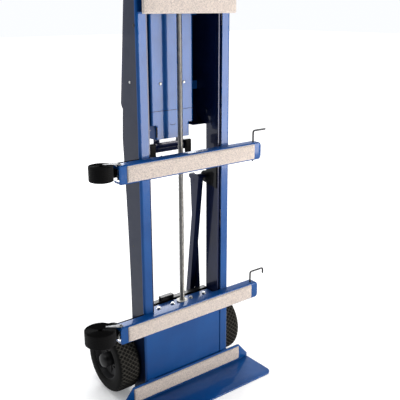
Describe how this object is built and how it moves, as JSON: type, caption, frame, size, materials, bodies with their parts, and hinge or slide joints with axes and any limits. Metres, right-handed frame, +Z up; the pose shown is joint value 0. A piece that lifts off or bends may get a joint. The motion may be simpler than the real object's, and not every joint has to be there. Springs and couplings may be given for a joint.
{
  "type": "stair-climbing hand truck",
  "caption": "Battery-powered upright hand truck: a toe plate and carpeted strap bars on a lift frame that a lead screw raises along a wheeled chassis, for climbing stairs.",
  "frame": {"origin": "on the floor under the toe plate, on the centre plane, at the front face of the uprights", "axes": "+X to the right seen from the front, +Y to the back towards the wheels and handles, +Z up"},
  "size_m": [0.8085, 0.495, 1.722],
  "materials": {
    "blue_paint": "gloss metallic powder coat",
    "dark_paint": "satin navy powder coat",
    "black_steel": "satin black powder coat",
    "zinc_steel": "zinc plated",
    "screw_steel": "oiled bright steel",
    "hook_wire": "black oxide",
    "carpet": "cut pile carpet, speckled beige",
    "webbing": "woven polyester webbing",
    "tyre_rubber": "moulded rubber",
    "belt_rubber": "moulded rubber",
    "black_plastic": "textured moulding",
    "white_nylon": "machined nylon",
    "switch_red": "moulded rocker"
  },
  "bodies": {
    "chassis": {"rod_guides": "black_steel", "left_rail": "dark_paint", "right_rail": "dark_paint", "slide_blocks": "white_nylon", "axle_plates": "black_steel", "axle": "zinc_steel", "axle_fittings": "zinc_steel", "crossmembers": "black_steel", "screw_bearings": "zinc_steel", "drive_case": "black_steel", "drive_belt": "belt_rubber", "motor": "zinc_steel", "motor_cover": "blue_paint", "gearbox_cover": "blue_paint", "motor_mount": "dark_paint", "bumpers": "belt_rubber", "rear_housing": "dark_paint", "leg_brackets": "black_steel", "handle": "zinc_steel", "left_grip": "belt_rubber", "right_grip": "belt_rubber", "control_box": "black_plastic", "cover_screws": "zinc_steel"},
    "lift_frame": {"left_upright": "blue_paint", "right_upright": "blue_paint", "lower_panel": "blue_paint", "nut_bracket": "zinc_steel", "lead_nut": "white_nylon", "toe_plate": "blue_paint", "toe_pad": "carpet", "mid_bar": "blue_paint", "mid_pad": "carpet", "low_bar": "blue_paint", "low_pad": "carpet", "top_plate": "blue_paint", "top_pad": "carpet", "frame_bolts": "zinc_steel", "mid_strap": "webbing", "low_strap": "webbing", "mid_buckle": "zinc_steel", "low_buckle": "zinc_steel"},
    "screw": {"lead_screw": "screw_steel", "screw_pulley": "zinc_steel"},
    "motor_rotor": {"motor_pulley": "zinc_steel"},
    "battery_pack": {"battery": "black_plastic"},
    "switch": {"rocker_switch": "switch_red"},
    "mid_lever": {"mid_cam_lever": "zinc_steel"},
    "low_lever": {"low_cam_lever": "zinc_steel"},
    "mid_j_hook": {"mid_hook": "hook_wire"},
    "low_j_hook": {"low_hook": "hook_wire"},
    "left_wheel": {"left_tyre": "tyre_rubber", "left_rim": "black_plastic"},
    "right_wheel": {"right_tyre": "tyre_rubber", "right_rim": "black_plastic"},
    "legs": {"support_legs": "dark_paint"},
    "left_small_wheel": {"left_support_wheel": "tyre_rubber"},
    "right_small_wheel": {"right_support_wheel": "tyre_rubber"},
    "rods": {"leg_rods": "dark_paint"}
  },
  "joints": [
    {"name": "lift_slide", "type": "slide", "parent": "chassis", "child": "lift_frame", "axis": [0, 0, 1], "range_m": [0, 0.45]},
    {"name": "screw_spin", "type": "hinge", "parent": "chassis", "child": "screw", "pos_m": [0, 0.038, 1], "axis": [0, 0, 1], "range_deg": [0, 8101]},
    {"name": "motor_spin", "type": "hinge", "parent": "chassis", "child": "motor_rotor", "pos_m": [0, 0.128, 1.4], "axis": [0, 0, 1], "range_deg": [0, 11341]},
    {"name": "battery_slide", "type": "slide", "parent": "chassis", "child": "battery_pack", "axis": [0, 0, 1], "range_m": [0, 0.12]},
    {"name": "switch_rock", "type": "hinge", "parent": "chassis", "child": "switch", "pos_m": [0, 0.203, 1.595], "axis": [1, 0, 0], "range_deg": [-10, 10], "stiffness_Nm_per_rad": 0.2},
    {"name": "left_wheel_spin", "type": "hinge", "parent": "chassis", "child": "left_wheel", "pos_m": [-0.244, 0.15, 0.127], "axis": [1, 0, 0], "continuous": true},
    {"name": "right_wheel_spin", "type": "hinge", "parent": "chassis", "child": "right_wheel", "pos_m": [0.244, 0.15, 0.127], "axis": [1, 0, 0], "continuous": true},
    {"name": "leg_fold", "type": "hinge", "parent": "chassis", "child": "legs", "pos_m": [0, 0.085, 0.793], "axis": [1, 0, 0], "range_deg": [0, 50]},
    {"name": "rod_swing", "type": "hinge", "parent": "legs", "child": "rods", "pos_m": [0, 0.146, 0.785], "axis": [1, 0, 0], "range_deg": [-49, 0]},
    {"name": "left_small_wheel_spin", "type": "hinge", "parent": "legs", "child": "left_small_wheel", "pos_m": [-0.088, 0.158, 0.186], "axis": [1, 0, 0], "continuous": true},
    {"name": "right_small_wheel_spin", "type": "hinge", "parent": "legs", "child": "right_small_wheel", "pos_m": [0.088, 0.158, 0.186], "axis": [1, 0, 0], "continuous": true},
    {"name": "mid_lever_tilt", "type": "hinge", "parent": "lift_frame", "child": "mid_lever", "pos_m": [-0.278, -0.016, 0.889], "axis": [0, 0, 1], "range_deg": [0, 26], "stiffness_Nm_per_rad": 0.05},
    {"name": "low_lever_tilt", "type": "hinge", "parent": "lift_frame", "child": "low_lever", "pos_m": [-0.296, -0.016, 0.315], "axis": [0, 0, 1], "range_deg": [0, 26], "stiffness_Nm_per_rad": 0.05},
    {"name": "mid_hook_turn", "type": "hinge", "parent": "lift_frame", "child": "mid_j_hook", "pos_m": [0.3, -0.018, 0.889], "axis": [0, 0, 1], "range_deg": [-120, 120]},
    {"name": "low_hook_turn", "type": "hinge", "parent": "lift_frame", "child": "low_j_hook", "pos_m": [0.3, -0.018, 0.315], "axis": [0, 0, 1], "range_deg": [-120, 120]}
  ],
  "couplings": [
    {"joint": "screw_spin", "follows": "lift_slide", "rad_per_m": 314.16},
    {"joint": "motor_spin", "follows": "lift_slide", "rad_per_m": 439.82},
    {"joint": "rod_swing", "follows": "leg_fold", "ratio": -0.964}
  ]
}
